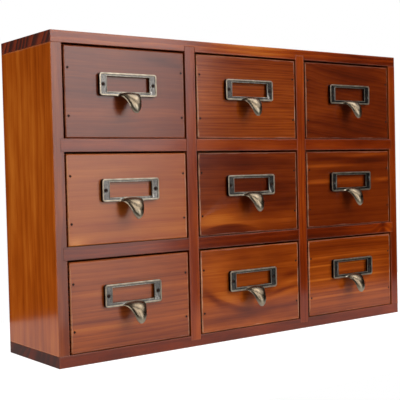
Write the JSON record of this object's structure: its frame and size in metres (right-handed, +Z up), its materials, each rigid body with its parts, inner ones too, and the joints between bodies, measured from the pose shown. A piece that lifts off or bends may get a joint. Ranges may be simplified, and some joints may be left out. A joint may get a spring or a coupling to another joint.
{
  "type": "desktop drawer cabinet",
  "caption": "Small stained-wood desktop cabinet with a grid of sliding drawers, each with a cast metal label holder and finger pull, for keeping small things sorted.",
  "frame": {"origin": "middle of the underside of the case", "axes": "+X along the width to the right as seen from the front, +Y from the drawer fronts to the back, +Z up"},
  "size_m": [0.375, 0.1004, 0.251],
  "materials": {
    "case_stain": "stained and lacquered softwood",
    "front_stain": "stained and lacquered softwood",
    "bare_wood": "bare planed softwood",
    "plywood": "bare thin plywood",
    "antique_brass": "antiqued cast metal, rubbed bright on the raised edges",
    "nail_steel": "dark oxidised steel"
  },
  "bodies": {
    "case": {"top_panel": "case_stain", "bottom_panel": "case_stain", "left_side": "case_stain", "right_side": "case_stain", "left_divider": "case_stain", "right_divider": "case_stain", "upper_shelf": "case_stain", "lower_shelf": "case_stain", "back_panel": "plywood", "case_nails": "nail_steel", "back_tacks": "nail_steel"},
    "top_left_drawer": {"top_left_drawer_front": "front_stain", "top_left_drawer_walls": "bare_wood", "top_left_drawer_floor": "plywood", "top_left_drawer_pull": "antique_brass", "top_left_drawer_pins": "nail_steel"},
    "top_centre_drawer": {"top_centre_drawer_front": "front_stain", "top_centre_drawer_walls": "bare_wood", "top_centre_drawer_floor": "plywood", "top_centre_drawer_pull": "antique_brass", "top_centre_drawer_pins": "nail_steel"},
    "top_right_drawer": {"top_right_drawer_front": "front_stain", "top_right_drawer_walls": "bare_wood", "top_right_drawer_floor": "plywood", "top_right_drawer_pull": "antique_brass", "top_right_drawer_pins": "nail_steel"},
    "middle_left_drawer": {"middle_left_drawer_front": "front_stain", "middle_left_drawer_walls": "bare_wood", "middle_left_drawer_floor": "plywood", "middle_left_drawer_pull": "antique_brass", "middle_left_drawer_pins": "nail_steel"},
    "middle_centre_drawer": {"middle_centre_drawer_front": "front_stain", "middle_centre_drawer_walls": "bare_wood", "middle_centre_drawer_floor": "plywood", "middle_centre_drawer_pull": "antique_brass", "middle_centre_drawer_pins": "nail_steel"},
    "middle_right_drawer": {"middle_right_drawer_front": "front_stain", "middle_right_drawer_walls": "bare_wood", "middle_right_drawer_floor": "plywood", "middle_right_drawer_pull": "antique_brass", "middle_right_drawer_pins": "nail_steel"},
    "bottom_left_drawer": {"bottom_left_drawer_front": "front_stain", "bottom_left_drawer_walls": "bare_wood", "bottom_left_drawer_floor": "plywood", "bottom_left_drawer_pull": "antique_brass", "bottom_left_drawer_pins": "nail_steel"},
    "bottom_centre_drawer": {"bottom_centre_drawer_front": "front_stain", "bottom_centre_drawer_walls": "bare_wood", "bottom_centre_drawer_floor": "plywood", "bottom_centre_drawer_pull": "antique_brass", "bottom_centre_drawer_pins": "nail_steel"},
    "bottom_right_drawer": {"bottom_right_drawer_front": "front_stain", "bottom_right_drawer_walls": "bare_wood", "bottom_right_drawer_floor": "plywood", "bottom_right_drawer_pull": "antique_brass", "bottom_right_drawer_pins": "nail_steel"}
  },
  "joints": [
    {"name": "top_left_drawer_slide", "type": "slide", "parent": "case", "child": "top_left_drawer", "axis": [0, -1, 0], "range_m": [0, 0.06]},
    {"name": "top_centre_drawer_slide", "type": "slide", "parent": "case", "child": "top_centre_drawer", "axis": [0, -1, 0], "range_m": [0, 0.06]},
    {"name": "top_right_drawer_slide", "type": "slide", "parent": "case", "child": "top_right_drawer", "axis": [0, -1, 0], "range_m": [0, 0.06]},
    {"name": "middle_left_drawer_slide", "type": "slide", "parent": "case", "child": "middle_left_drawer", "axis": [0, -1, 0], "range_m": [0, 0.06]},
    {"name": "middle_centre_drawer_slide", "type": "slide", "parent": "case", "child": "middle_centre_drawer", "axis": [0, -1, 0], "range_m": [0, 0.06]},
    {"name": "middle_right_drawer_slide", "type": "slide", "parent": "case", "child": "middle_right_drawer", "axis": [0, -1, 0], "range_m": [0, 0.06]},
    {"name": "bottom_left_drawer_slide", "type": "slide", "parent": "case", "child": "bottom_left_drawer", "axis": [0, -1, 0], "range_m": [0, 0.06]},
    {"name": "bottom_centre_drawer_slide", "type": "slide", "parent": "case", "child": "bottom_centre_drawer", "axis": [0, -1, 0], "range_m": [0, 0.06]},
    {"name": "bottom_right_drawer_slide", "type": "slide", "parent": "case", "child": "bottom_right_drawer", "axis": [0, -1, 0], "range_m": [0, 0.06]}
  ]
}
